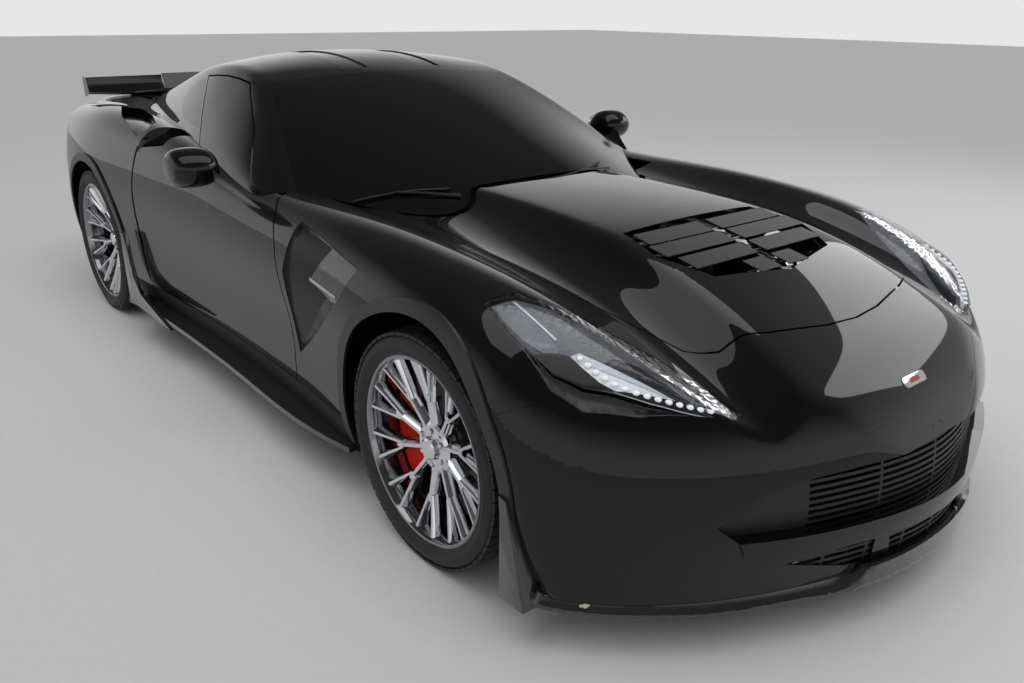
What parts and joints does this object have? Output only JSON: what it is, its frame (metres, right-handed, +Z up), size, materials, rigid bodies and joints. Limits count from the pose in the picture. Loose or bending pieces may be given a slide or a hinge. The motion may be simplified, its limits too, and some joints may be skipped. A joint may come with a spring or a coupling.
{
  "type": "two-seat sports coupe",
  "caption": "Low front-engined two-seat coupe with opening doors, front-hinged hood, rear hatch, steered front wheels and free-turning wheels.",
  "frame": {"origin": "on the ground in the middle of the car's length and width", "axes": "+X to the nose, +Y to the car's left, +Z up"},
  "size_m": [4.5292, 2.14, 1.2262],
  "materials": {
    "black_paint": "high gloss clearcoat",
    "underbody": "matte",
    "cast_metal": "as cast",
    "tyre_rubber": "matte",
    "wheel_chrome": "polished",
    "brake_iron": "ground",
    "caliper_red": "gloss",
    "tinted_glass": "dark tint",
    "clear_lens": "clear",
    "lamp_metal": "gloss",
    "lamp_red": "gloss",
    "black_trim": "gloss",
    "exhaust_steel": "polished",
    "engine_metal": "cast",
    "cabin_trim": "satin"
  },
  "bodies": {
    "body": {"floor_tub": "underbody", "roof_frame": "black_paint", "roof_panel": "black_paint", "fixed_glass": "tinted_glass", "cowl": "black_trim", "fenders": "black_paint", "side_outlets": "black_trim", "arch_flares": "black_trim", "front_fascia": "black_paint", "grille": "black_trim", "splitter": "black_trim", "headlamp_lenses": "clear_lens", "headlamp_units": "lamp_metal", "quarters": "black_paint", "rear_fascia": "black_paint", "tail_lamps": "lamp_red", "exhaust": "exhaust_steel", "side_skirts": "black_trim", "engine_block": "engine_metal", "interior": "cabin_trim", "suspension": "cast_metal", "rear_calipers": "caliper_red"},
    "hood": {"hood": "black_paint", "hood_louvres": "black_paint"},
    "door_left": {"door_left": "black_paint", "door_glass_left": "tinted_glass", "mirror_left": "black_paint"},
    "door_right": {"door_right": "black_paint", "door_glass_right": "tinted_glass", "mirror_right": "black_paint"},
    "hatch": {"hatch_frame": "black_paint", "hatch_glass": "tinted_glass", "spoiler": "black_paint", "spoiler_window": "clear_lens"},
    "front_left_hub": {"knuckle_left": "cast_metal", "caliper_left": "caliper_red"},
    "front_right_hub": {"knuckle_right": "cast_metal", "caliper_right": "caliper_red"},
    "steering_wheel": {"steering_wheel": "cabin_trim"},
    "front_left_wheel": {"rim_front_left": "wheel_chrome", "tyre_front_left": "tyre_rubber", "disc_front_left": "brake_iron"},
    "front_right_wheel": {"rim_front_right": "wheel_chrome", "tyre_front_right": "tyre_rubber", "disc_front_right": "brake_iron"},
    "rear_left_wheel": {"rim_rear_left": "wheel_chrome", "tyre_rear_left": "tyre_rubber", "disc_rear_left": "brake_iron"},
    "rear_right_wheel": {"rim_rear_right": "wheel_chrome", "tyre_rear_right": "tyre_rubber", "disc_rear_right": "brake_iron"}
  },
  "joints": [
    {"name": "hood_hinge", "type": "hinge", "parent": "body", "child": "hood", "pos_m": [1.985, 0, 0.625], "axis": [0, 1, 0], "range_deg": [0, 50]},
    {"name": "hatch_hinge", "type": "hinge", "parent": "body", "child": "hatch", "pos_m": [-0.845, 0, 1.18958], "axis": [0, 1, 0], "range_deg": [0, 50]},
    {"name": "door_left_hinge", "type": "hinge", "parent": "body", "child": "door_left", "pos_m": [0.385, 0.896, 0.6], "axis": [0, 0, -1], "range_deg": [0, 65]},
    {"name": "door_right_hinge", "type": "hinge", "parent": "body", "child": "door_right", "pos_m": [0.385, -0.896, 0.6], "axis": [0, 0, 1], "range_deg": [0, 65]},
    {"name": "steer_right", "type": "hinge", "parent": "body", "child": "front_right_hub", "pos_m": [1.317, -0.76, 0.327], "axis": [0, 0, 1], "range_deg": [-32, 32]},
    {"name": "steer_left", "type": "hinge", "parent": "body", "child": "front_left_hub", "pos_m": [1.317, 0.76, 0.327], "axis": [0, 0, 1], "range_deg": [-32, 32]},
    {"name": "steering_wheel_turn", "type": "hinge", "parent": "body", "child": "steering_wheel", "pos_m": [0.135, 0.37, 0.724], "axis": [-0.9397, 0, 0.342], "range_deg": [-450, 450]},
    {"name": "front_left_spin", "type": "hinge", "parent": "front_left_hub", "child": "front_left_wheel", "pos_m": [1.317, 0.8065, 0.327], "axis": [0, 1, 0], "continuous": true},
    {"name": "front_right_spin", "type": "hinge", "parent": "front_right_hub", "child": "front_right_wheel", "pos_m": [1.317, -0.8065, 0.327], "axis": [0, 1, 0], "continuous": true},
    {"name": "rear_left_spin", "type": "hinge", "parent": "body", "child": "rear_left_wheel", "pos_m": [-1.393, 0.794, 0.338], "axis": [0, 1, 0], "continuous": true},
    {"name": "rear_right_spin", "type": "hinge", "parent": "body", "child": "rear_right_wheel", "pos_m": [-1.393, -0.794, 0.338], "axis": [0, 1, 0], "continuous": true}
  ],
  "couplings": [
    {"joint": "steer_left", "follows": "steer_right", "ratio": 1},
    {"joint": "steering_wheel_turn", "follows": "steer_right", "ratio": 14}
  ]
}
